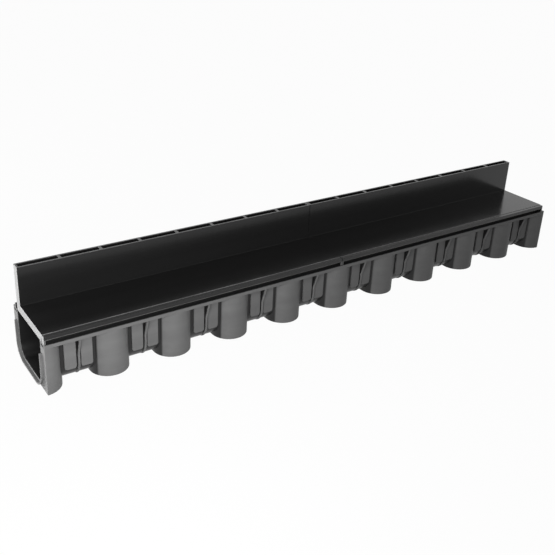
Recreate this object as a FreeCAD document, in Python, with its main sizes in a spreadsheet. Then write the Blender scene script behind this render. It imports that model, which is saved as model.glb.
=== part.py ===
"""Channel drain: a moulded trough on hollow pillars, closed by two slotted covers.

X runs along the channel, -Y is the side under the flat of the covers, +Y is the side of the
slot wall, and Z is up.  The origin is on the ground, at the centre of the overall box.
"""
import FreeCAD
import Part
import Sketcher

import math
import os
import re

# Driving dimensions in millimetres, or plain counts.
SIZES = {
    # channel body
    "body_length": (1000.0, "length from end face to end face, without the collar"),
    "body_width": (128.0, "width over the pillars"),
    "bay_count": (10, "bays between pillars"),
    "ledge_height": (78.0, "top of the ledges above the ground"),
    "trough_width": (100.0, "outer width of the trough"),
    "trough_lift": (3.5, "underside of the trough above the ground"),
    "trough_radius": (24.0, "outer radius of the trough's lower corners"),
    "trough_wall": (2.6, "wall of the trough"),
    "rim_wall": (2.5, "thickness of the ledge and of the band that hangs from it"),
    "rim_depth": (6.0, "height of the outer band"),
    "upstand_inset": (7.5, "from the outer face to the upstand"),
    "upstand_wall": (2.8, "thickness of the upstand"),
    "upstand_height": (6.5, "upstand above the ledge"),
    "pillar_radius": (29.0, "outer radius of a pillar's round front"),
    "pillar_wall": (2.5, "wall of a pillar"),
    "gusset_wall": (3.0, "thickness of the gusset in the middle of a bay"),
    "gusset_depth": (3.2, "reach of the gusset's lower part beyond the trough"),
    "gusset_foot": (45.0, "height at which the gusset's taper ends"),
    "end_web": (2.6, "thickness of the web across the collar end"),
    "collar_reach": (4.0, "reach of the joining collar"),
    "collar_wall": (2.5, "wall of the collar"),
    "collar_height": (60.0, "top of the collar above the ground"),
    "joint_clearance": (0.3, "between the collar and the trough that it takes in"),
    # slot covers
    "cover_length": (496.0, "length of one cover"),
    "cover_gap": (1.0, "gap between the two covers"),
    "plate_wall": (3.0, "thickness of the flat plate"),
    "seat_depth": (3.5, "from the plate's underside to the upstand that carries it"),
    "skirt_height": (12.5, "height of the end walls, measured from the plate's top"),
    "skirt_wall": (2.5, "thickness of the fascia and the end walls"),
    "fascia_height": (6.5, "height of the front fascia, measured from the plate's top"),
    "border_width": (6.0, "width of the lowered border along the front edge"),
    "border_step": (0.7, "drop from the plate to the border"),
    "flat_width": (95.0, "from the front edge to the slot wall"),
    "slot_rise": (59.5, "top of the slot above the plate"),
    "slot_width": (9.3, "clear width of the slot"),
    "slot_wall": (2.6, "wall on each side of the slot"),
    "slot_count": (8, "slot openings in one cover"),
    "slot_web": (4.5, "thickness of the webs across the slot"),
    "slot_end": (3.0, "thickness of the slot's end walls"),
    "rib_count": (7, "stiffening ribs under one plate"),
    "rib_wall": (2.4, "thickness of a stiffening rib"),
    "rib_drop": (16.0, "depth of a rib below the plate, inside the trough"),
    "rib_clearance": (0.8, "between the ribs and the trough's walls"),
    "foot_width": (18.0, "width of a foot on the rear ledge"),
    "foot_wall": (3.0, "thickness of a foot"),
    "foot_clearance": (0.6, "between the feet and the rear upstand"),
}

# Places worked out from the driving dimensions.
PLACES = {
    "near_end": "(collar_reach - body_length) / 2",
    "far_end": "near_end + body_length",
    "bay_pitch": "body_length / bay_count",
    "half_width": "body_width / 2",
    "trough_half": "trough_width / 2",
    "corner_centre": "trough_half - trough_radius",
    "corner_height": "trough_lift + trough_radius",
    "bore_half": "trough_half - trough_wall",
    "bore_floor": "trough_lift + trough_wall",
    "band_foot": "ledge_height - rim_depth",
    "upstand_outer": "half_width - upstand_inset",
    "upstand_inner": "upstand_outer - upstand_wall",
    "upstand_top": "ledge_height + upstand_height",
    "collar_inner": "trough_half + joint_clearance",
    "collar_outer": "collar_inner + collar_wall",
    "collar_bore_radius": "trough_radius + joint_clearance",
    "collar_radius": "collar_bore_radius + collar_wall",
    "plate_under": "upstand_top + seat_depth",
    "plate_top": "plate_under + plate_wall",
    "skirt_foot": "plate_top - skirt_height",
    "fascia_foot": "plate_top - fascia_height",
    "slot_front": "flat_width - half_width",
    "slot_back": "slot_front + slot_width + 2 * slot_wall",
    "slot_top": "plate_top + slot_rise",
    "slot_pitch": "(cover_length - 2 * slot_end + slot_web) / slot_count",
    "slot_length": "slot_pitch - slot_web",
    "rib_pitch": "cover_length / (rib_count + 1)",
    "rib_foot": "plate_under - rib_drop",
}

NAMES = re.compile(r"[a-z]+(?:_[a-z]+)+")


class Line:
    """A straight side of an outline, ending at (u, v), both formulas in the names above."""

    def __init__(self, u, v):
        self.end = (u, v)


class Arc:
    """A round side about a centre, ending at (u, v); turn is 1 anticlockwise, -1 clockwise."""

    def __init__(self, u, v, centre_u, centre_v, turn):
        self.end = (u, v)
        self.centre = (centre_u, centre_v)
        self.turn = turn


def make_sheet(doc):
    """Write the driving dimensions into the document's spreadsheet."""
    sheet = doc.addObject("Spreadsheet::Sheet", "Sizes")
    for row, (alias, (size, note)) in enumerate(SIZES.items(), start=1):
        sheet.set(f"A{row}", alias)
        sheet.set(f"B{row}", str(size))
        sheet.set(f"C{row}", note)
        sheet.setAlias(f"B{row}", alias)
    doc.recompute()
    return sheet


def formula(text):
    """Turn a formula in plain names into one that reads the spreadsheet."""
    def expand(match):
        name = match.group(0)
        if name in PLACES:
            return f"({formula(PLACES[name])})"
        return f"Sizes.{name}"
    return NAMES.sub(expand, text)


def value(doc, text):
    """Work out a formula with the present sizes."""
    return float(doc.Sizes.evalExpression(formula(text)))


def make_body(doc, label):
    """Add an empty body for one moulded piece."""
    body = doc.addObject("PartDesign::Body", label)
    body.Label = label
    return body


def origin_feature(body, role):
    """Find one of the body's own origin planes or axes by its role."""
    return next(item for item in body.Origin.OriginFeatures if item.Role == role)


def make_sketch(body, name, plane, offset):
    """Attach an empty sketch to an origin plane, at a distance along the plane's normal."""
    sketch = body.newObject("Sketcher::SketchObject", name)
    sketch.AttachmentSupport = [(origin_feature(body, plane), "")]
    sketch.MapMode = "FlatFace"
    sketch.setExpression("AttachmentOffset.Base.z", formula(offset))
    return sketch


def draw_outline(sketch, sides):
    """Draw one closed outline and tie every corner and radius to the spreadsheet."""
    doc = sketch.Document
    first = sketch.GeometryCount
    points = [FreeCAD.Vector(value(doc, u), value(doc, v), 0) for u, v in (s.end for s in sides)]
    for index, side in enumerate(sides):
        start, end = points[index - 1], points[index]
        if isinstance(side, Line):
            sketch.addGeometry(Part.LineSegment(start, end), False)
            continue
        centre = FreeCAD.Vector(value(doc, side.centre[0]), value(doc, side.centre[1]), 0)
        circle = Part.Circle(centre, FreeCAD.Vector(0, 0, 1), centre.distanceToPoint(end))
        low, high = (start, end) if side.turn > 0 else (end, start)
        angles = [math.atan2(p.y - centre.y, p.x - centre.x) for p in (low, high)]
        if angles[1] <= angles[0]:
            angles[1] += 2 * math.pi
        sketch.addGeometry(Part.ArcOfCircle(circle, *angles), False)
    for index, side in enumerate(sides):
        geometry = first + index
        following = first + (index + 1) % len(sides)
        end_point = 2 if isinstance(side, Line) or side.turn > 0 else 1
        next_side = sides[(index + 1) % len(sides)]
        next_start = 1 if isinstance(next_side, Line) or next_side.turn > 0 else 2
        sketch.addConstraint(
            Sketcher.Constraint("Coincident", geometry, end_point, following, next_start))
        for axis, kind, text in (("u", "DistanceX", side.end[0]), ("v", "DistanceY", side.end[1])):
            tie(sketch, Sketcher.Constraint(kind, geometry, end_point, value(doc, text)),
                f"{axis}_{geometry}", text)
        if isinstance(side, Arc):
            tie_centre(sketch, geometry, side, points[index] - points[index - 1])


def tie_centre(sketch, geometry, side, chord):
    """Place an arc's centre along the line midway between its fixed ends."""
    level = abs(chord.x) > abs(chord.y)
    kind = "DistanceY" if level else "DistanceX"
    text = side.centre[1] if level else side.centre[0]
    tie(sketch, Sketcher.Constraint(kind, geometry, 3, value(sketch.Document, text)),
        f"centre_{geometry}", text)


def tie(sketch, constraint, name, text):
    """Add a dimension to a sketch under a name, driven by a formula."""
    sketch.renameConstraint(sketch.addConstraint(constraint), name)
    sketch.setExpression(f"Constraints.{name}", formula(text))


def rectangle(low_u, low_v, high_u, high_v):
    """The four sides of an upright rectangle."""
    return [Line(low_u, low_v), Line(high_u, low_v), Line(high_u, high_v), Line(low_u, high_v)]


def mirrored(sides):
    """The same outline on the other side of the sketch's vertical axis."""
    result = []
    for index in range(len(sides) - 1, -1, -1):
        side = sides[index]
        u, v = sides[index - 1].end
        if isinstance(side, Line):
            result.append(Line(f"-({u})", v))
        else:
            centre_u, centre_v = side.centre
            result.append(Arc(f"-({u})", v, f"-({centre_u})", centre_v, side.turn))
    return result


def extrude(body, kind, sketch, length, reverse=False):
    """Pad or pocket a sketch by a driven length."""
    feature = body.newObject(f"PartDesign::{kind}", f"{sketch.Name}_{kind.lower()}")
    feature.Profile = sketch
    feature.setExpression("Length", formula(length))
    feature.Reversed = reverse
    sketch.Visibility = False
    return feature


def repeat(body, feature, length, count):
    """Repeat a feature along X, evenly over a length."""
    pattern = body.newObject("PartDesign::LinearPattern", f"{feature.Name}_row")
    pattern.Originals = [feature]
    pattern.Direction = (origin_feature(body, "X_Axis"), [""])
    pattern.setExpression("Length", formula(length))
    pattern.setExpression("Occurrences", formula(count))
    body.Tip = pattern
    return pattern


def add_trough(body):
    """The U-shaped trough with its ledges, hanging bands and upstands, in one section."""
    sketch = make_sketch(body, "trough_section", "YZ_Plane", "near_end")
    right_outer = [
        Line("corner_centre", "trough_lift"),
        Arc("trough_half", "corner_height", "corner_centre", "corner_height", 1),
        Line("trough_half", "ledge_height - rim_wall"),
        Line("half_width - rim_wall", "ledge_height - rim_wall"),
        Line("half_width - rim_wall", "band_foot"),
        Line("half_width", "band_foot"),
        Line("half_width", "ledge_height"),
        Line("upstand_outer", "ledge_height"),
        Line("upstand_outer", "upstand_top"),
        Line("upstand_inner", "upstand_top"),
        Line("upstand_inner", "ledge_height"),
        Line("bore_half", "ledge_height"),
        Line("bore_half", "corner_height"),
        Arc("corner_centre", "bore_floor", "corner_centre", "corner_height", -1),
    ]
    # the mirrored half runs back up to the waterway's floor, which the first line joins across
    left_outer = [Line("-(corner_centre)", "bore_floor")] + mirrored(right_outer)[:-1]
    draw_outline(sketch, right_outer + left_outer)
    return extrude(body, "Pad", sketch, "body_length")


def add_pillars(body):
    """Hollow pillars with round fronts on both sides; the end ones are cut to half."""
    sketch = make_sketch(body, "pillar_plan", "XY_Plane", "0")
    front = "half_width - pillar_radius"
    inner = "pillar_radius - pillar_wall"
    for side in ("", "-"):
        turn = 1 if side == "" else -1
        sides = [
            Line("near_end + pillar_radius", f"{side}(corner_centre)"),
            Line("near_end + pillar_radius", f"{side}({front})"),
            Arc("near_end - pillar_radius", f"{side}({front})", "near_end",
                f"{side}({front})", turn),
            Line("near_end - pillar_radius", f"{side}(corner_centre)"),
            Line(f"near_end - ({inner})", f"{side}(corner_centre)"),
            Line(f"near_end - ({inner})", f"{side}({front})"),
            Arc(f"near_end + ({inner})", f"{side}({front})", "near_end",
                f"{side}({front})", -turn),
            Line(f"near_end + ({inner})", f"{side}(corner_centre)"),
        ]
        draw_outline(sketch, sides)
    pad = extrude(body, "Pad", sketch, "ledge_height - rim_wall / 2")
    return repeat(body, pad, "body_length", "bay_count + 1")


def add_gussets(body):
    """A tapered gusset in the middle of every bay, running down round the trough's corner."""
    sketch = make_sketch(body, "gusset_section", "YZ_Plane",
                         "near_end + (bay_pitch - gusset_wall) / 2")
    root = "trough_half - trough_wall / 2"
    crown = "ledge_height - rim_wall / 2"
    inside = "bore_floor - trough_wall / 2"
    rise = "trough_radius + gusset_depth"
    right = [
        Line(root, crown),
        Line(root, "corner_height"),
        Arc("corner_centre", inside, "corner_centre", "corner_height", -1),
        Arc("trough_half + gusset_depth", f"{inside} + {rise}", "corner_centre",
            f"{inside} + {rise}", 1),
        Line("trough_half + gusset_depth", "gusset_foot"),
        Line("half_width - rim_wall / 2", "band_foot"),
        Line("half_width - rim_wall / 2", crown),
    ]
    draw_outline(sketch, right)
    draw_outline(sketch, mirrored(right))
    pad = extrude(body, "Pad", sketch, "gusset_wall")
    return repeat(body, pad, "body_length - bay_pitch", "bay_count")


def trim_ends(body):
    """Cut the end pillars flush with the end faces."""
    for name, place, reverse in (("near_trim", "near_end", False), ("far_trim", "far_end", True)):
        sketch = make_sketch(body, name, "YZ_Plane", place)
        draw_outline(sketch, rectangle("-(body_width)", "-(trough_lift)",
                                       "body_width", "ledge_height"))
        extrude(body, "Pocket", sketch, "2 * pillar_radius", reverse)


def add_end_web(body):
    """The web across the collar end, between the trough and the pillar fronts."""
    sketch = make_sketch(body, "web_section", "YZ_Plane", "near_end")
    draw_outline(sketch, rectangle("-(half_width)", "0", "half_width", "band_foot"))
    return extrude(body, "Pad", sketch, "end_web")


def clear_waterway(body):
    """Clear the inside of the trough of everything that reaches into it."""
    sketch = make_sketch(body, "waterway_section", "YZ_Plane", "near_end")
    draw_outline(sketch, [
        Line("corner_centre", "bore_floor"),
        Arc("bore_half", "corner_height", "corner_centre", "corner_height", 1),
        Line("bore_half", "upstand_top"),
        Line("-(bore_half)", "upstand_top"),
        Line("-(bore_half)", "corner_height"),
        Arc("-(corner_centre)", "bore_floor", "-(corner_centre)", "corner_height", 1),
    ])
    return extrude(body, "Pocket", sketch, "body_length", True)


def add_collar(body):
    """The thin U-shaped collar that takes in the next channel's plain end."""
    sketch = make_sketch(body, "collar_section", "YZ_Plane", "near_end - collar_reach")
    foot = "corner_height - collar_radius"
    floor = "corner_height - collar_bore_radius"
    draw_outline(sketch, [
        Line("corner_centre", foot),
        Arc("collar_outer", "corner_height", "corner_centre", "corner_height", 1),
        Line("collar_outer", "collar_height"),
        Line("collar_inner", "collar_height"),
        Line("collar_inner", "corner_height"),
        Arc("corner_centre", floor, "corner_centre", "corner_height", -1),
        Line("-(corner_centre)", floor),
        Arc("-(collar_inner)", "corner_height", "-(corner_centre)", "corner_height", -1),
        Line("-(collar_inner)", "collar_height"),
        Line("-(collar_outer)", "collar_height"),
        Line("-(collar_outer)", "corner_height"),
        Arc("-(corner_centre)", foot, "-(corner_centre)", "corner_height", 1),
    ])
    return extrude(body, "Pad", sketch, "collar_reach + end_web / 2")


def make_channel(doc):
    """The moulded channel body."""
    body = make_body(doc, "channel_body")
    add_trough(body)
    add_pillars(body)
    add_gussets(body)
    trim_ends(body)
    add_end_web(body)
    clear_waterway(body)
    add_collar(body)
    return body


def add_cover_blank(body, start):
    """The cover's outer form: a flat with a lowered border, and the slot wall."""
    sketch = make_sketch(body, f"{body.Name}_section", "YZ_Plane", start)
    draw_outline(sketch, [
        Line("-(half_width)", "skirt_foot"),
        Line("slot_back", "skirt_foot"),
        Line("slot_back", "slot_top"),
        Line("slot_front", "slot_top"),
        Line("slot_front", "plate_top"),
        Line("border_width - half_width", "plate_top"),
        Line("border_width - border_step - half_width", "plate_top - border_step"),
        Line("-(half_width)", "plate_top - border_step"),
    ])
    return extrude(body, "Pad", sketch, "cover_length")


def hollow_cover(body, start):
    """The space under the plate, inside the fascia and the end walls."""
    sketch = make_sketch(body, f"{body.Name}_hollow", "XY_Plane", "skirt_foot")
    draw_outline(sketch, rectangle(f"{start} + skirt_wall", "skirt_wall - half_width",
                                   f"{start} + cover_length - skirt_wall", "slot_front"))
    return extrude(body, "Pocket", sketch, "skirt_height - plate_wall", True)


def open_front(body, start):
    """The gap below the fascia, which leaves the end walls at their full height."""
    sketch = make_sketch(body, f"{body.Name}_front", "XY_Plane", "skirt_foot")
    draw_outline(sketch, rectangle(f"{start} + skirt_wall", "-(body_width)",
                                   f"{start} + cover_length - skirt_wall", "-(trough_half)"))
    return extrude(body, "Pocket", sketch, "fascia_foot - skirt_foot", True)


def add_ribs(body, start):
    """Stiffening ribs: shallow over the upstand, deep between the trough's walls."""
    sketch = make_sketch(body, f"{body.Name}_rib", "YZ_Plane",
                         f"{start} + rib_pitch - rib_wall / 2")
    inside = "rib_clearance - bore_half"
    draw_outline(sketch, [
        Line("skirt_wall / 2 - half_width", "upstand_top"),
        Line(inside, "upstand_top"),
        Line(f"{inside} + upstand_top - rib_foot", "rib_foot"),
        Line("slot_front + slot_wall / 2", "rib_foot"),
        Line("slot_front + slot_wall / 2", "plate_top - plate_wall / 2"),
        Line("skirt_wall / 2 - half_width", "plate_top - plate_wall / 2"),
    ])
    pad = extrude(body, "Pad", sketch, "rib_wall")
    return repeat(body, pad, "rib_pitch * (rib_count - 1)", "rib_count")


def clear_upstand(body, start):
    """Notches in the end walls where the channel's upstand passes under the plate."""
    sketch = make_sketch(body, f"{body.Name}_notch", "YZ_Plane", start)
    draw_outline(sketch, rectangle("-(upstand_outer) - rib_clearance", "skirt_foot",
                                   "rib_clearance - upstand_inner", "upstand_top"))
    return extrude(body, "Pocket", sketch, "cover_length", True)


def cut_slots(body, start):
    """The row of slot openings, right through the slot wall."""
    sketch = make_sketch(body, f"{body.Name}_slot", "XY_Plane", "rib_foot")
    draw_outline(sketch, rectangle(f"{start} + slot_end", "slot_front + slot_wall",
                                   f"{start} + slot_end + slot_length",
                                   "slot_back - slot_wall"))
    cut = extrude(body, "Pocket", sketch, "slot_top - rib_foot", True)
    return repeat(body, cut, "slot_pitch * (slot_count - 1)", "slot_count")


def add_feet(body, start):
    """L-shaped feet below the slot's rear wall, standing on the rear ledge."""
    sketch = make_sketch(body, f"{body.Name}_foot", "YZ_Plane",
                         f"{start} + slot_end + (slot_length - foot_width) / 2")
    draw_outline(sketch, [
        Line("slot_back - slot_wall", "ledge_height"),
        Line("upstand_inner - foot_clearance", "ledge_height"),
        Line("upstand_inner - foot_clearance", "ledge_height + foot_wall"),
        Line("slot_back", "ledge_height + foot_wall"),
        Line("slot_back", "skirt_foot + foot_wall"),
        Line("slot_back - slot_wall", "skirt_foot + foot_wall"),
    ])
    pad = extrude(body, "Pad", sketch, "foot_width")
    return repeat(body, pad, "slot_pitch * (slot_count - 1)", "slot_count")


def make_cover(doc, label, start):
    """One moulded cover, whose near end is at the given place."""
    body = make_body(doc, label)
    add_cover_blank(body, start)
    hollow_cover(body, start)
    open_front(body, start)
    add_ribs(body, start)
    clear_upstand(body, start)
    cut_slots(body, start)
    add_feet(body, start)
    return body


def check_document(doc):
    """Stop if any object failed to recompute."""
    for item in doc.Objects:
        failed = [state for state in item.State if state in ("Invalid", "Error")]
        if failed:
            raise RuntimeError(f"{item.Name} failed: {failed}")


def export_pieces(pieces):
    """Check each finished piece and write it to its own STEP file."""
    for piece in pieces:
        if piece.Shape.isNull() or not piece.Shape.isValid() or not piece.Shape.Solids:
            raise RuntimeError(f"{piece.Label} has no valid shape")
    os.makedirs("parts", exist_ok=True)
    for piece in pieces:
        shape = piece.Shape
        print(f"{piece.Label}: {len(shape.Solids)} solid, {shape.Volume / 1000:.1f} cm3, "
              f"{len(shape.Faces)} faces, box {shape.BoundBox}")
        shape.exportStep(f"parts/{piece.Label}.step")


def main():
    """Build the channel drain and write its pieces."""
    doc = FreeCAD.newDocument("channel_drain")
    make_sheet(doc)
    pieces = [
        make_channel(doc),
        make_cover(doc, "slot_cover_near", "near_end"),
        make_cover(doc, "slot_cover_far", "near_end + cover_length + cover_gap"),
    ]
    doc.recompute()
    check_document(doc)
    export_pieces(pieces)


main()
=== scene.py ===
"""Dresses the channel drain: moulded black polypropylene, a plain floor and soft studio light."""
import logging
import math
from dataclasses import dataclass, replace
from enum import Enum

import bmesh
import bpy
from mathutils import Matrix, Vector


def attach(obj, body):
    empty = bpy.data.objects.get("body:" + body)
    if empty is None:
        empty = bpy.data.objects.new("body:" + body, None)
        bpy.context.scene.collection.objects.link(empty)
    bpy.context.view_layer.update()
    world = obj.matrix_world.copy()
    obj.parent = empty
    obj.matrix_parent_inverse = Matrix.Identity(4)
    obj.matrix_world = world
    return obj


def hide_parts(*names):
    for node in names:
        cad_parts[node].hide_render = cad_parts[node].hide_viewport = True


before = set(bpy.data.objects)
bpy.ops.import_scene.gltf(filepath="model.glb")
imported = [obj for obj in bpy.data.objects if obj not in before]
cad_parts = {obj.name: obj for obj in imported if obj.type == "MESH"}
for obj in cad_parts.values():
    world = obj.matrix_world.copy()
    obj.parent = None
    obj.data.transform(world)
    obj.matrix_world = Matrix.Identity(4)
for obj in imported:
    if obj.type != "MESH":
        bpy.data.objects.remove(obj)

LOG = logging.getLogger("channel_drain")
MM = 0.001
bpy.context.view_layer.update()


class Slot(Enum):
    """The record's material slots."""

    CHANNEL = "channel_polypropylene"
    COVER = "cover_polypropylene"


class Side(Enum):
    """The two long sides of the channel, each by the turn that faces a detail outwards there."""

    FLAT = 0.0
    SLOTTED = math.pi


def linear(hex_colour: str) -> tuple[float, float, float, float]:
    """Turn an sRGB hex colour into linear RGBA.

    Args:
        hex_colour: Six hex digits after a hash sign.

    Returns:
        The colour as the shader wants it.
    """
    channels = [int(hex_colour[i:i + 2], 16) / 255 for i in (1, 3, 5)]
    return (*[c / 12.92 if c <= 0.04045 else ((c + 0.055) / 1.055) ** 2.4 for c in channels], 1.0)


def add_node(
    tree: bpy.types.NodeTree,
    kind: str,
    settings: dict[str, object] | None = None,
    **inputs: object,
) -> bpy.types.Node:
    """Add one node, set it up and link what feeds it.

    Args:
        tree: The node tree that gets the node.
        kind: The node's type name.
        settings: Properties of the node itself.
        **inputs: Sockets by name with underscores for spaces, or i0, i1 by number; each takes a
            value or the output socket that feeds it.

    Returns:
        The new node.
    """
    node = tree.nodes.new(kind)
    for name, setting in (settings or {}).items():
        setattr(node, name, setting)
    for name, source in inputs.items():
        key = int(name[1:]) if name[0] == "i" and name[1:].isdigit() else name.replace("_", " ")
        socket = node.inputs[key]
        if isinstance(source, bpy.types.NodeSocket):
            tree.links.new(source, socket)
        else:
            socket.default_value = source
    return node


def maths(tree: bpy.types.NodeTree, operation: str, *sources: object) -> bpy.types.NodeSocket:
    """Add a maths node and return its result.

    Args:
        tree: The node tree that gets the node.
        operation: The operation's name.
        *sources: Up to three numbers or sockets.

    Returns:
        The output socket.
    """
    inputs = {f"i{index}": source for index, source in enumerate(sources)}
    return add_node(tree, "ShaderNodeMath", {"operation": operation}, **inputs).outputs[0]


def tint(tree: bpy.types.NodeTree, share: bpy.types.NodeSocket, below: object,
         hex_colour: str) -> bpy.types.NodeSocket:
    """Blend a colour over another.

    Args:
        tree: The node tree that gets the node.
        share: How much of the new colour shows, from 0 to 1.
        below: The socket or the plain colour underneath.
        hex_colour: The new colour.

    Returns:
        The blended colour.
    """
    return add_node(tree, "ShaderNodeMix", {"data_type": "RGBA"}, i0=share, i6=below,
                    i7=linear(hex_colour)).outputs[2]


@dataclass(frozen=True)
class MouldedPolypropylene:
    """Carbon-black polypropylene as it leaves an injection mould.

    The tool's finish sets the sheen: a spark-eroded face comes out satin and slightly grey, a
    polished one is deep black and nearly mirrors what stands on it.  End faces can carry painted
    light, hollows painted shade and edges painted highlights.  Long parts also show faint streaks
    along the way that the plastic flowed.
    """

    name: str
    colour: str
    streak_colour: str
    roughness: float
    roughness_spread: float
    grain_mm: float
    grain_depth_mm: float
    streak_mm: float
    streak_stretch: tuple[float, float, float] = (0.04, 1.0, 1.0)
    streak_range: tuple[float, float] = (0.35, 0.7)
    mottle_mm: float = 35.0
    mottle_share: float = 0.6
    blend_range: tuple[float, float] = (0.2, 0.8)
    specular: float = 0.5
    ior: float = 1.49
    sink_pitch_mm: float = 0.0
    sink_start_mm: float = 0.0
    sink_width_mm: float = 5.0
    sink_depth_mm: float = 0.05
    sink_low_mm: float = 0.0
    sink_high_mm: float = 1.0
    # painted shade: a darker colour in the trough, on the seat above the ledges and on the
    # gussets' sides
    painted_shade_colour: str = ""
    deep_roughness_drop: float = 0.22
    deep_reach_mm: tuple[float, float] = (50.6, 53.5)
    painted_shade_span_mm: tuple[float, float] = (-497.4, 501.4)
    seat_mm: tuple[float, float] = (76.8, 77.8)
    gusset_start_mm: float = 0.0
    gusset_pitch_mm: float = 100.0
    gusset_half_mm: float = 2.2
    gusset_reach_mm: float = 61.0
    # painted highlights along the cover's border riser, fascia and top edges
    painted_highlight_colour: str = ""
    highlight_rise_mm: tuple[float, float] = (57.7, 90.6)
    highlight_fascia_mm: tuple[float, float] = (63.3, 85.3)
    highlight_top_mm: float = 150.2
    highlight_width_mm: float = 0.8
    highlight_patch_range: tuple[float, float] = (0.3, 0.6)
    highlight_least: float = 0.45
    # painted light on the end faces, which the roughness rise also makes matt
    end_light_colour: str = ""
    end_light_planes_mm: tuple[float, ...] = ()
    end_light_tolerance_mm: float = 0.3
    end_light_facing: float = 0.85
    end_face_roughness_rise: float = 0.35

    def build(self) -> bpy.types.Material:
        """Build the material.

        Returns:
            The finished material.
        """
        material = bpy.data.materials.new(self.name)
        material.use_nodes = True
        tree = material.node_tree
        tree.nodes.clear()
        place = add_node(tree, "ShaderNodeTexCoord").outputs["Object"]
        streaks = self.streaks(tree, place)
        mottle = add_node(tree, "ShaderNodeTexNoise", Vector=place,
                          Scale=1 / (self.mottle_mm * MM), Detail=3.0).outputs["Fac"]
        grain = add_node(tree, "ShaderNodeTexNoise", Vector=place,
                         Scale=1 / (self.grain_mm * MM), Detail=2.0).outputs["Fac"]
        colour = tint(tree, streaks, linear(self.colour), self.streak_colour)
        blend = maths(tree, "MULTIPLY_ADD", mottle, self.mottle_share,
                      maths(tree, "MULTIPLY", streaks, 1 - self.mottle_share))
        roughness = add_node(
            tree, "ShaderNodeMapRange", Value=blend, From_Min=self.blend_range[0],
            From_Max=self.blend_range[1],
            To_Min=self.roughness - self.roughness_spread,
            To_Max=self.roughness + self.roughness_spread).outputs[0]
        # painted shade darkens the trough, the seat and the gussets' sides; the roughness drop
        # also makes them smoother
        if self.painted_shade_colour:
            painted_shade = self.painted_shade(tree, place)
            colour = tint(tree, painted_shade, colour, self.painted_shade_colour)
            roughness = maths(tree, "MULTIPLY_ADD", painted_shade, -self.deep_roughness_drop, roughness)
        # painted highlights lighten the cover's edges
        if self.painted_highlight_colour:
            colour = tint(tree, self.painted_highlights(tree, place, mottle), colour, self.painted_highlight_colour)
        # painted light lightens the end faces; the roughness rise also makes them matt
        if self.end_light_colour:
            painted_end_light = self.painted_end_light(tree, place)
            colour = tint(tree, painted_end_light, colour, self.end_light_colour)
            roughness = maths(tree, "MULTIPLY_ADD", painted_end_light, self.end_face_roughness_rise, roughness)
        height = maths(tree, "MULTIPLY", grain, self.grain_depth_mm * MM)
        if self.sink_pitch_mm:
            height = maths(tree, "SUBTRACT", height, self.sinks(tree, place))
        bump = add_node(tree, "ShaderNodeBump", Height=height, Strength=1.0, Distance=1.0)
        shader = add_node(tree, "ShaderNodeBsdfPrincipled", Base_Color=colour,
                          Roughness=roughness, IOR=self.ior, Normal=bump.outputs[0])
        shader.inputs["Specular IOR Level"].default_value = self.specular
        add_node(tree, "ShaderNodeOutputMaterial", Surface=shader.outputs[0])
        return material

    def streaks(self, tree: bpy.types.NodeTree,
                place: bpy.types.NodeSocket) -> bpy.types.NodeSocket:
        """Add flow streaks that run along the part.

        Args:
            tree: The material's node tree.
            place: Object coordinates.

        Returns:
            The streaks' strength, from 0 to 1.
        """
        stretched = add_node(tree, "ShaderNodeMapping", Vector=place,
                             Scale=self.streak_stretch)
        noise = add_node(tree, "ShaderNodeTexNoise", Vector=stretched.outputs[0],
                         Scale=1 / (self.streak_mm * MM), Detail=4.0)
        return add_node(tree, "ShaderNodeMapRange", Value=noise.outputs["Fac"],
                        From_Min=self.streak_range[0], From_Max=self.streak_range[1]).outputs[0]

    def painted_shade(self, tree: bpy.types.NodeTree,
             place: bpy.types.NodeSocket) -> bpy.types.NodeSocket:
        """Find where shade is painted: the trough, the seat above the ledges and the gussets'
        sides.

        Args:
            tree: The material's node tree.
            place: Object coordinates.

        Returns:
            One where painted shade darkens the colour, falling to zero on the satin faces.
        """
        split = add_node(tree, "ShaderNodeSeparateXYZ", Vector=place)
        reach = maths(tree, "ABSOLUTE", split.outputs["Y"])
        trough = add_node(tree, "ShaderNodeMapRange", {"interpolation_type": "SMOOTHSTEP"},
                          Value=reach, From_Min=self.deep_reach_mm[0] * MM,
                          From_Max=self.deep_reach_mm[1] * MM, To_Min=1.0,
                          To_Max=0.0).outputs[0]
        seat = add_node(tree, "ShaderNodeMapRange", Value=split.outputs["Z"],
                        From_Min=self.seat_mm[0] * MM, From_Max=self.seat_mm[1] * MM).outputs[0]
        along = maths(tree, "MULTIPLY_ADD", split.outputs["X"], 1 / (self.gusset_pitch_mm * MM),
                      -self.gusset_start_mm / self.gusset_pitch_mm)
        offset = maths(tree, "ABSOLUTE",
                       maths(tree, "SUBTRACT", maths(tree, "FRACT", along), 0.5))
        gusset = maths(tree, "MULTIPLY",
                       maths(tree, "LESS_THAN", offset,
                             self.gusset_half_mm / self.gusset_pitch_mm),
                       maths(tree, "LESS_THAN", reach, self.gusset_reach_mm * MM))
        trough = maths(tree, "MAXIMUM", trough, gusset)
        before = maths(tree, "GREATER_THAN", split.outputs["X"], self.painted_shade_span_mm[0] * MM)
        beyond = maths(tree, "LESS_THAN", split.outputs["X"], self.painted_shade_span_mm[1] * MM)
        return maths(tree, "MULTIPLY", maths(tree, "MAXIMUM", trough, seat),
                     maths(tree, "MULTIPLY", before, beyond))

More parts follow.
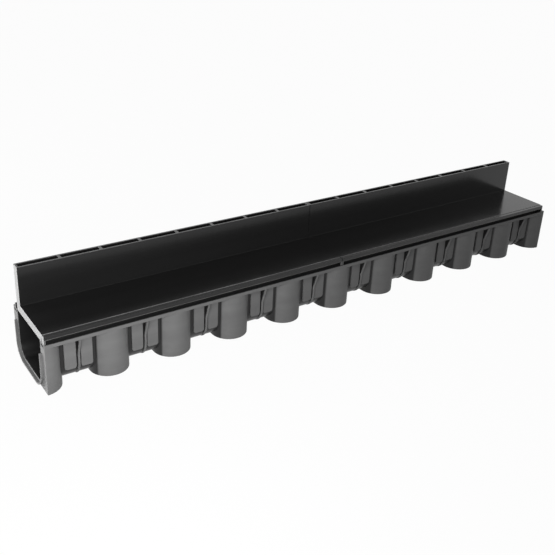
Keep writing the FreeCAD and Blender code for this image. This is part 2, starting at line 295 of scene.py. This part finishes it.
    def painted_highlights(self, tree: bpy.types.NodeTree, place: bpy.types.NodeSocket,
             mottle: bpy.types.NodeSocket) -> bpy.types.NodeSocket:
        """Find the cover's edges that get a painted highlight.

        Args:
            tree: The material's node tree.
            place: Object coordinates.
            mottle: Slow noise that makes the painted highlights uneven.

        Returns:
            The strength of the painted highlights, from 0 to 1.
        """
        split = add_node(tree, "ShaderNodeSeparateXYZ", Vector=place)
        reach = maths(tree, "MULTIPLY", split.outputs["Y"], -1.0)
        rise = maths(tree, "LESS_THAN",
                     maths(tree, "ABSOLUTE",
                           maths(tree, "SUBTRACT", reach, self.highlight_rise_mm[0] * MM)),
                     self.highlight_width_mm * MM)
        rise = maths(tree, "MULTIPLY", rise,
                     maths(tree, "GREATER_THAN", split.outputs["Z"], self.highlight_rise_mm[1] * MM))
        fascia = maths(tree, "MULTIPLY",
                       maths(tree, "GREATER_THAN", reach, self.highlight_fascia_mm[0] * MM),
                       maths(tree, "LESS_THAN", split.outputs["Z"],
                             self.highlight_fascia_mm[1] * MM))
        top = maths(tree, "GREATER_THAN", split.outputs["Z"], self.highlight_top_mm * MM)
        edges = maths(tree, "MAXIMUM", rise, maths(tree, "MAXIMUM", fascia, top))
        patchy = add_node(tree, "ShaderNodeMapRange", Value=mottle,
                          From_Min=self.highlight_patch_range[0], From_Max=self.highlight_patch_range[1],
                          To_Min=self.highlight_least, To_Max=1.0).outputs[0]
        return maths(tree, "MULTIPLY", edges, patchy)

    def painted_end_light(self, tree: bpy.types.NodeTree,
                place: bpy.types.NodeSocket) -> bpy.types.NodeSocket:
        """Find the end faces, which get painted light.

        Args:
            tree: The material's node tree.
            place: Object coordinates.

        Returns:
            One on the end faces and zero elsewhere.
        """
        split = add_node(tree, "ShaderNodeSeparateXYZ", Vector=place)
        at_end = None
        for plane in self.end_light_planes_mm:
            near = maths(tree, "COMPARE", split.outputs["X"], plane * MM,
                         self.end_light_tolerance_mm * MM)
            at_end = maths(tree, "MAXIMUM", at_end, near) if at_end else near
        normal = add_node(tree, "ShaderNodeNewGeometry").outputs["True Normal"]
        lengthwise = add_node(tree, "ShaderNodeSeparateXYZ", Vector=normal).outputs["X"]
        facing = maths(tree, "GREATER_THAN", maths(tree, "ABSOLUTE", lengthwise),
                       self.end_light_facing)
        return maths(tree, "MULTIPLY", at_end, facing)

    def sinks(self, tree: bpy.types.NodeTree,
              place: bpy.types.NodeSocket) -> bpy.types.NodeSocket:
        """Add the faint sink marks where webs meet the back of a wall.

        Args:
            tree: The material's node tree.
            place: Object coordinates.

        Returns:
            The depth of the marks in metres.
        """
        split = add_node(tree, "ShaderNodeSeparateXYZ", Vector=place)
        along = maths(tree, "MULTIPLY_ADD", split.outputs["X"], 1 / (self.sink_pitch_mm * MM),
                      -self.sink_start_mm / self.sink_pitch_mm + 0.5)
        offset = maths(tree, "ABSOLUTE",
                       maths(tree, "SUBTRACT", maths(tree, "FRACT", along), 0.5))
        across = add_node(tree, "ShaderNodeMapRange", {"interpolation_type": "SMOOTHSTEP"},
                          Value=offset, From_Min=0.0,
                          From_Max=self.sink_width_mm / self.sink_pitch_mm,
                          To_Min=self.sink_depth_mm * MM, To_Max=0.0).outputs[0]
        fade = add_node(tree, "ShaderNodeMapRange", {"interpolation_type": "SMOOTHSTEP"},
                        Value=split.outputs["Z"], From_Min=self.sink_low_mm * MM,
                        From_Max=self.sink_high_mm * MM).outputs[0]
        return maths(tree, "MULTIPLY", across, fade)


# A spark-eroded mould leaves an even satin that looks dark grey in the light.  Its real grain is
# about 0.1 mm and too fine to show, so it is drawn at 1.6 mm.
SATIN = MouldedPolypropylene(
    name="spark-eroded black polypropylene", colour="#5e5e5e", streak_colour="#656565",
    roughness=0.56, roughness_spread=0.05, grain_mm=1.6, grain_depth_mm=0.015, streak_mm=14.0,
    specular=0.25)
# The same, with painted shade darkening the trough, the seat and the gussets' sides, which are
# also smoother, and painted light on the end faces, which are also matt.
SATIN_SHELL = replace(
    SATIN, name="spark-eroded black polypropylene with a polished trough",
    painted_shade_colour="#1e1e1e", gusset_start_mm=-498.0, end_light_colour="#8e8e8e",
    end_light_planes_mm=(-502.0, -498.0, 502.0))
# A polished mould leaves a deep black gloss with soft reflections; the edges are lightened by
# painted highlights and the end faces by painted light.
GLOSS = MouldedPolypropylene(
    name="polished black polypropylene", colour="#141414", streak_colour="#181818",
    roughness=0.18, roughness_spread=0.03, grain_mm=2.2, grain_depth_mm=0.001, streak_mm=30.0,
    specular=0.36, painted_highlight_colour="#5a5a5a", end_light_colour="#b4b4b4", end_light_planes_mm=(-498.0, 495.0))
MERGE_MM = 0.01
DETAIL_MERGE_MM = 0.005
EDGE_SEGMENTS = 2
FLAT_DEGREES = 0.5
SHARP_DEGREES = 50
BEVEL_DEGREES = 38
NORMAL_WEIGHT = 100


def edged_copy(node: str, name: str, edge_mm: float) -> bpy.types.Object:
    """Copy a moulded piece and round its sharp edges.

    Args:
        node: The frame node to copy.
        name: The new piece's name.
        edge_mm: Radius of the rounded edges.

    Returns:
        The new piece, at the origin.
    """
    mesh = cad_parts[node].data.copy()
    mesh.materials.clear()
    work = bmesh.new()
    work.from_mesh(mesh)
    bmesh.ops.remove_doubles(work, verts=work.verts, dist=MERGE_MM * MM)
    bmesh.ops.dissolve_limit(work, angle_limit=math.radians(FLAT_DEGREES), verts=work.verts,
                             edges=work.edges)
    work.to_mesh(mesh)
    work.free()
    rough = bpy.data.objects.new(f"{name}_rough", mesh)
    bpy.context.scene.collection.objects.link(rough)
    for polygon in mesh.polygons:
        polygon.use_smooth = True
    mesh.set_sharp_from_angle(angle=math.radians(SHARP_DEGREES))
    bevel = rough.modifiers.new("rounded edges", "BEVEL")
    bevel.width = edge_mm * MM
    bevel.segments = EDGE_SEGMENTS
    bevel.limit_method = "ANGLE"
    bevel.angle_limit = math.radians(BEVEL_DEGREES)
    bevel.use_clamp_overlap = True
    # normals follow the larger face, so that wide walls stay flat up to their rounded edges
    weighted = rough.modifiers.new("flat walls", "WEIGHTED_NORMAL")
    weighted.weight = NORMAL_WEIGHT
    weighted.keep_sharp = True
    return plain_piece(rough, name)


def plain_piece(source: bpy.types.Object, name: str) -> bpy.types.Object:
    """Turn an object with live modifiers into a plain piece, and remove the source.

    Args:
        source: The object whose evaluated shape is kept.
        name: The new piece's name.

    Returns:
        The new piece, at the origin.
    """
    graph = bpy.context.evaluated_depsgraph_get()
    mesh = bpy.data.meshes.new_from_object(source.evaluated_get(graph), depsgraph=graph)
    mesh.name = name
    piece = bpy.data.objects.new(name, mesh)
    bpy.context.scene.collection.objects.link(piece)
    bpy.data.objects.remove(source)
    return piece


class DetailTree:
    """A Geometry Nodes tree with named sizes, which repeats one moulded detail."""

    def __init__(self, name: str) -> None:
        """Start an empty tree.

        Args:
            name: The name of the tree and of the piece that it makes.
        """
        self.name = name
        self.tree = bpy.data.node_groups.new(name, "GeometryNodeTree")
        self.tree.is_modifier = True
        self.entry = self.tree.nodes.new("NodeGroupInput")
        self.sizes: dict[str, float | int] = {}

    def size(self, name: str, amount: float | int) -> bpy.types.NodeSocket:
        """Add a named input.

        Args:
            name: What the size is.
            amount: A whole number for a count, otherwise a length in metres.

        Returns:
            The socket that carries it.
        """
        kind = "NodeSocketInt" if isinstance(amount, int) else "NodeSocketFloat"
        item = self.tree.interface.new_socket(name, in_out="INPUT", socket_type=kind)
        self.sizes[item.identifier] = amount
        return self.entry.outputs[name]

    def node(self, kind: str, settings: dict[str, object] | None = None,
             **inputs: object) -> bpy.types.NodeSocket:
        """Add a node and return its first output."""
        return add_node(self.tree, kind, settings, **inputs).outputs[0]

    def spot(self, *places: object) -> bpy.types.NodeSocket:
        """Join three numbers or sockets into one place."""
        return self.node("ShaderNodeCombineXYZ", **{f"i{i}": v for i, v in enumerate(places)})

    def joined(self, parts: list[bpy.types.NodeSocket]) -> bpy.types.NodeSocket:
        """Join several geometries.

        Args:
            parts: The geometries.

        Returns:
            All of them as one.
        """
        join = self.tree.nodes.new("GeometryNodeJoinGeometry")
        for part in parts:
            self.tree.links.new(part, join.inputs[0])
        return join.outputs[0]

    def row(self, detail: bpy.types.NodeSocket, count: bpy.types.NodeSocket,
            start: bpy.types.NodeSocket, pitch: bpy.types.NodeSocket) -> bpy.types.NodeSocket:
        """Repeat a detail along X.

        Args:
            detail: The geometry to repeat.
            count: How many.
            start: Where the first one stands.
            pitch: The distance from one to the next.

        Returns:
            The whole row, as instances.
        """
        line = self.node("GeometryNodeMeshLine", {"mode": "OFFSET"}, Count=count,
                         Start_Location=self.spot(start, 0.0, 0.0),
                         Offset=self.spot(pitch, 0.0, 0.0))
        return self.node("GeometryNodeInstanceOnPoints", Points=line, Instance=detail)

    def piece(self, shape: bpy.types.NodeSocket,
              material: bpy.types.Material) -> bpy.types.Object:
        """Close the tree and make the plain piece that it describes.

        Args:
            shape: The whole geometry.
            material: The piece's finish.

        Returns:
            The finished piece, with its faces outwards.
        """
        self.tree.interface.new_socket("Geometry", in_out="OUTPUT",
                                       socket_type="NodeSocketGeometry")
        real = self.node("GeometryNodeRealizeInstances", Geometry=shape)
        dressed = self.node("GeometryNodeSetMaterial", Geometry=real, Material=material)
        add_node(self.tree, "NodeGroupOutput", i0=dressed)
        host = bpy.data.objects.new(f"{self.name}_host", bpy.data.meshes.new(f"{self.name}_host"))
        bpy.context.scene.collection.objects.link(host)
        modifier = host.modifiers.new(self.name, "NODES")
        modifier.node_group = self.tree
        for identifier, amount in self.sizes.items():
            modifier[identifier] = amount
        piece = plain_piece(host, self.name)
        work = bmesh.new()
        work.from_mesh(piece.data)
        bmesh.ops.remove_doubles(work, verts=work.verts, dist=DETAIL_MERGE_MM * MM)
        bmesh.ops.recalc_face_normals(work, faces=work.faces)
        work.to_mesh(piece.data)
        work.free()
        return piece


def mount(piece: bpy.types.Object, node: str | None = None) -> bpy.types.Object:
    """Hang a piece on the frame's root and hide the CAD node that it replaces.

    Args:
        piece: The finished piece.
        node: The CAD node that it replaces, if it does.

    Returns:
        The same piece.
    """
    if node:
        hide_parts(node)
    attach(piece, "root")
    return piece


@dataclass
class Channel:
    """The trough with its pillars, gussets, rims and collar."""

    node: str = "channel_body"
    edge_mm: float = 0.5
    near_end_mm: float = -498.0
    bay_pitch_mm: float = 100.0
    bay_count: int = 10
    trough_half_mm: float = 50.0
    pillar_radius_mm: float = 29.0
    panel_foot_mm: float = 22.5
    panel_top_mm: float = 75.8
    panel_proud_mm: float = 2.0
    panel_corner_mm: float = 3.5
    panel_depth_mm: float = 3.5
    panel_pillar_gap_mm: float = 0.7
    panel_gusset_gap_mm: float = 2.0
    gusset_wall_mm: float = 3.0
    gusset_reach_mm: float = 53.2
    gusset_top_mm: tuple[float, float] = (61.6, 71.5)
    gusset_foot_mm: float = 45.0
    gusset_arc_mm: tuple[float, float, float] = (26.0, 32.0, 27.2)
    bead_radius_mm: float = 1.75
    mark_radius_mm: float = 3.5
    mark_row_mm: float = 14.0
    floor_mm: float = 6.1
    mark_proud_mm: float = 0.25
    corner_steps: int = 5
    arc_points: int = 10
    bead_points: int = 12
    mark_points: int = 24

    def bays(self, rows: DetailTree, placed: list[bpy.types.NodeSocket]) -> bpy.types.NodeSocket:
        """Repeat the details of one bay in every bay.

        Args:
            rows: The tree that the details belong to.
            placed: The details of one bay, with X measured from its middle.

        Returns:
            The whole row, as instances.
        """
        first = self.near_end_mm + self.bay_pitch_mm / 2
        return rows.row(rows.joined(placed), rows.size("Bays", self.bay_count),
                        rows.size("First bay", first * MM),
                        rows.size("Bay pitch", self.bay_pitch_mm * MM))

    def panels(self, material: bpy.types.Material) -> bpy.types.Object:
        """Build the flat panels between the pillars and the gussets, on both sides.

        Args:
            material: The channel's finish.

        Returns:
            All panels as one piece.
        """
        rows = DetailTree("bay_panels")
        width = rows.size("Panel width", (self.bay_pitch_mm / 2 - self.pillar_radius_mm
                                          - self.gusset_wall_mm / 2 - self.panel_pillar_gap_mm
                                          - self.panel_gusset_gap_mm) * MM)
        height = rows.size("Panel height", (self.panel_top_mm - self.panel_foot_mm) * MM)
        corner = rows.size("Corner radius", self.panel_corner_mm * MM)
        depth = rows.size("Panel depth", self.panel_depth_mm * MM)
        outline = rows.node("GeometryNodeCurvePrimitiveQuadrilateral", {"mode": "RECTANGLE"},
                            Width=width, Height=height)
        rounded = rows.node("GeometryNodeFilletCurve", {"mode": "POLY"}, Curve=outline,
                            Count=self.corner_steps, Radius=corner)
        thickness = rows.node("GeometryNodeCurvePrimitiveLine", {"mode": "POINTS"},
                              End=rows.spot(0.0, 0.0, depth))
        slab = rows.node("GeometryNodeCurveToMesh", Curve=thickness, Profile_Curve=rounded,
                         Fill_Caps=True)
        level = (self.panel_foot_mm + self.panel_top_mm) / 2 * MM
        inner = (self.trough_half_mm + self.panel_proud_mm - self.panel_depth_mm) * MM
        offset = (self.bay_pitch_mm / 2 - self.pillar_radius_mm + self.gusset_wall_mm / 2
                  + self.panel_gusset_gap_mm - self.panel_pillar_gap_mm) / 2 * MM
        placed = []
        for side in Side:
            out = -math.cos(side.value) * inner
            for shift in (-offset, offset):
                placed.append(rows.node("GeometryNodeTransform", Geometry=slab,
                                        Translation=(shift, out, level),
                                        Rotation=(math.pi / 2, 0.0, side.value)))
        return rows.piece(self.bays(rows, placed), material)

    def gusset_beads(self, material: bpy.types.Material) -> bpy.types.Object:
        """Build the rounded beads that run down the front edges of the gussets.

        Args:
            material: The channel's finish.

        Returns:
            All beads as one piece.
        """
        rows = DetailTree("gusset_beads")
        reach = rows.size("Lower reach", self.gusset_reach_mm * MM)
        crown_reach = rows.size("Upper reach", self.gusset_top_mm[0] * MM)
        crown = rows.size("Upper end", self.gusset_top_mm[1] * MM)
        foot = rows.size("Taper foot", self.gusset_foot_mm * MM)
        arc_out, arc_up, arc_radius = (size * MM for size in self.gusset_arc_mm)
        radius = rows.size("Bead radius", self.bead_radius_mm * MM)
        taper = rows.node("GeometryNodeCurvePrimitiveLine", {"mode": "POINTS"},
                          Start=rows.spot(crown_reach, crown, 0.0),
                          End=rows.spot(reach, foot, 0.0))
        upright = rows.node("GeometryNodeCurvePrimitiveLine", {"mode": "POINTS"},
                            Start=rows.spot(reach, foot, 0.0),
                            End=rows.spot(reach, arc_up, 0.0))
        arc = rows.node("GeometryNodeCurveArc", {"mode": "RADIUS"}, Resolution=self.arc_points,
                        Radius=arc_radius, Start_Angle=0.0, Sweep_Angle=-math.pi / 2)
        bend = rows.node("GeometryNodeTransform", Geometry=arc,
                         Translation=(arc_out, arc_up, 0.0))
        ring = rows.node("GeometryNodeCurvePrimitiveCircle", {"mode": "RADIUS"},
                         Resolution=self.bead_points, Radius=radius)
        bead = rows.node("GeometryNodeCurveToMesh", Curve=rows.joined([taper, upright, bend]),
                         Profile_Curve=ring, Fill_Caps=True)
        placed = [rows.node("GeometryNodeTransform", Geometry=bead,
                            Rotation=(math.pi / 2, 0.0, side.value - math.pi / 2))
                  for side in Side]
        return rows.piece(self.bays(rows, placed), material)

    def ejector_marks(self, material: bpy.types.Material) -> bpy.types.Object:
        """Build the round marks that the mould's ejector pins leave on the waterway's floor.

        Args:
            material: The channel's finish.

        Returns:
            All marks as one piece.
        """
        rows = DetailTree("ejector_marks")
        radius = rows.size("Pin radius", self.mark_radius_mm * MM)
        height = rows.size("Mark height", 2 * self.mark_proud_mm * MM)
        pin = rows.node("GeometryNodeMeshCylinder", Vertices=self.mark_points, Radius=radius,
                        Depth=height)
        placed = [rows.node("GeometryNodeTransform", Geometry=pin,
                            Translation=(0.0, sign * self.mark_row_mm * MM, self.floor_mm * MM))
                  for sign in (-1, 1)]
        return rows.piece(self.bays(rows, placed), material)

    def build(self) -> list[bpy.types.Object]:
        """Build the channel and dress it.

        Returns:
            The finished pieces.
        """
        material = SATIN.build()
        shell = edged_copy(self.node, "channel_shell", self.edge_mm)
        shell.data.materials.append(SATIN_SHELL.build())
        return [
            mount(shell, self.node),
            mount(self.panels(material)),
            mount(self.gusset_beads(material)),
            mount(self.ejector_marks(material)),
        ]


@dataclass
class SlotCover:
    """One cover: the flat, its skirt and the tall slot wall."""

    node: str
    start_mm: float
    edge_mm: float = 0.45
    slot_pitch_mm: float = 61.8125
    slot_end_mm: float = 3.0
    slot_web_mm: float = 4.5
    flat_top_mm: float = 91.0
    wall_top_mm: float = 150.5

    def finish(self) -> MouldedPolypropylene:
        """The cover's finish, with sink marks where its slot webs stand."""
        return replace(
            GLOSS, name=f"{GLOSS.name}, {self.node}", sink_pitch_mm=self.slot_pitch_mm,
            sink_start_mm=self.start_mm + self.slot_end_mm - self.slot_web_mm / 2,
            sink_low_mm=self.flat_top_mm, sink_high_mm=self.wall_top_mm)

    def build(self) -> list[bpy.types.Object]:
        """Build the cover and dress it.

        Returns:
            The finished pieces.
        """
        shell = edged_copy(self.node, f"{self.node}_shell", self.edge_mm)
        shell.data.materials.append(self.finish().build())
        return [mount(shell, self.node)]


@dataclass(frozen=True)
class SoftBox:
    """A flat lamp that hangs in one place and points at another, all in metres and watts."""

    name: str
    place_m: tuple[float, float, float]
    target_m: tuple[float, float, float]
    size_m: tuple[float, float]
    power_w: float

    def hang(self) -> None:
        """Add the lamp to the scene."""
        light = bpy.data.lights.new(self.name, "AREA")
        light.shape = "RECTANGLE"
        light.size, light.size_y = self.size_m
        light.energy = self.power_w
        lamp = bpy.data.objects.new(self.name, light)
        lamp.location = self.place_m
        aim = Vector(self.target_m) - Vector(self.place_m)
        lamp.rotation_euler = aim.to_track_quat("-Z", "Y").to_euler()
        bpy.context.scene.collection.objects.link(lamp)


@dataclass
class Studio:
    """A plain pale floor, soft lamps and the camera."""

    lens_mm: float = 51.511
    sensor_mm: float = 36.0
    shift: tuple[float, float] = (0.0278, -0.0763)
    camera_mm: tuple[float, float, float] = (-766.38, -952.63, 639.2)
    yaw: float = 34.25
    pitch: float = 23.78
    roll: float = 2.43
    floor_m: float = 8.0
    floor_drop_mm: float = 0.05
    floor_white_share: float = 0.97
    fill_strength: float = 0.14
    lamps: tuple[SoftBox, ...] = (
        SoftBox("front", (-0.62, -0.54, 0.36), (-0.4, 0.0, 0.05), (0.45, 0.35), 6.4),
        SoftBox("end", (-1.1, 1.0, 0.24), (-0.5, 0.0, 0.08), (0.8, 0.44), 16.0),
        SoftBox("top", (0.0, 0.3, 1.9), (0.0, 0.0, 0.0), (2.0, 1.0), 3.0),
    )

    def seen(self, tree: bpy.types.NodeTree) -> bpy.types.NodeSocket:
        """Tell the rays that see the surround from those that only carry its light.

        Args:
            tree: The node tree of the floor or the world.

        Returns:
            1 for camera, glossy and transmission rays, and 0 for the others.
        """
        path = add_node(tree, "ShaderNodeLightPath")
        return maths(tree, "MAXIMUM", path.outputs["Is Camera Ray"],
                     maths(tree, "MAXIMUM", path.outputs["Is Glossy Ray"],
                           path.outputs["Is Transmission Ray"]))

    def floor(self) -> None:
        """Lay the pale floor just under the feet.

        The camera, the gloss and clear things see it white, and its matt share keeps the shadow.
        """
        mesh = bpy.data.meshes.new("floor")
        work = bmesh.new()
        bmesh.ops.create_grid(work, x_segments=1, y_segments=1, size=self.floor_m)
        work.to_mesh(mesh)
        work.free()
        floor = bpy.data.objects.new("floor", mesh)
        floor.location.z = -self.floor_drop_mm * MM
        bpy.context.scene.collection.objects.link(floor)
        material = bpy.data.materials.new("pale floor")
        material.use_nodes = True
        tree = material.node_tree
        tree.nodes.clear()
        matt = add_node(tree, "ShaderNodeBsdfDiffuse", Color=linear("#b0b0b0"))
        white = add_node(tree, "ShaderNodeEmission", Strength=1.0)
        share = maths(tree, "MULTIPLY", self.seen(tree), self.floor_white_share)
        mixed = add_node(tree, "ShaderNodeMixShader", i0=share, i1=matt.outputs[0],
                         i2=white.outputs[0])
        add_node(tree, "ShaderNodeOutputMaterial", Surface=mixed.outputs[0])
        mesh.materials.append(material)

    def world(self) -> None:
        """Set a surround that is white where it is seen and lights the object only dimly."""
        world = bpy.data.worlds.new("surround")
        bpy.context.scene.world = world
        world.use_nodes = True
        tree = world.node_tree
        tree.nodes.clear()
        strength = maths(tree, "MULTIPLY_ADD", self.seen(tree), 1 - self.fill_strength,
                         self.fill_strength)
        background = add_node(tree, "ShaderNodeBackground", Color=(1.0, 1.0, 1.0, 1.0),
                              Strength=strength)
        add_node(tree, "ShaderNodeOutputWorld", Surface=background.outputs[0])

    def camera(self) -> None:
        """Set up the camera."""
        data = bpy.data.cameras.new("camera")
        data.sensor_fit = "HORIZONTAL"
        data.sensor_width = self.sensor_mm
        data.lens = self.lens_mm
        data.shift_x, data.shift_y = self.shift
        yaw, pitch, roll = (math.radians(a) for a in (self.yaw, self.pitch, self.roll))
        forward = Vector((math.sin(yaw) * math.cos(pitch), math.cos(yaw) * math.cos(pitch),
                          -math.sin(pitch)))
        level = Vector((math.cos(yaw), -math.sin(yaw), 0.0))
        upright = level.cross(forward)
        right = math.cos(roll) * level + math.sin(roll) * upright
        up = math.cos(roll) * upright - math.sin(roll) * level
        camera = bpy.data.objects.new("camera", data)
        turn = Matrix((right, up, -forward)).transposed().to_4x4()
        camera.matrix_world = Matrix.Translation(Vector(self.camera_mm) * MM) @ turn
        bpy.context.scene.collection.objects.link(camera)
        bpy.context.scene.camera = camera

    def build(self) -> None:
        """Set up everything that isn't part of the object."""
        self.floor()
        self.world()
        for lamp in self.lamps:
            lamp.hang()
        self.camera()
        bpy.context.scene.view_settings.view_transform = "Standard"


def main() -> None:
    """Build the drain, then the studio round it."""
    logging.basicConfig(level=logging.INFO, format="%(name)s: %(message)s")
    pieces = Channel().build()
    pieces += SlotCover("slot_cover_near", -498.0).build()
    pieces += SlotCover("slot_cover_far", -1.0).build()
    for piece in pieces:
        LOG.info("%s: %d faces", piece.name, len(piece.data.polygons))
    Studio().build()


if __name__ == "__main__":
    main()
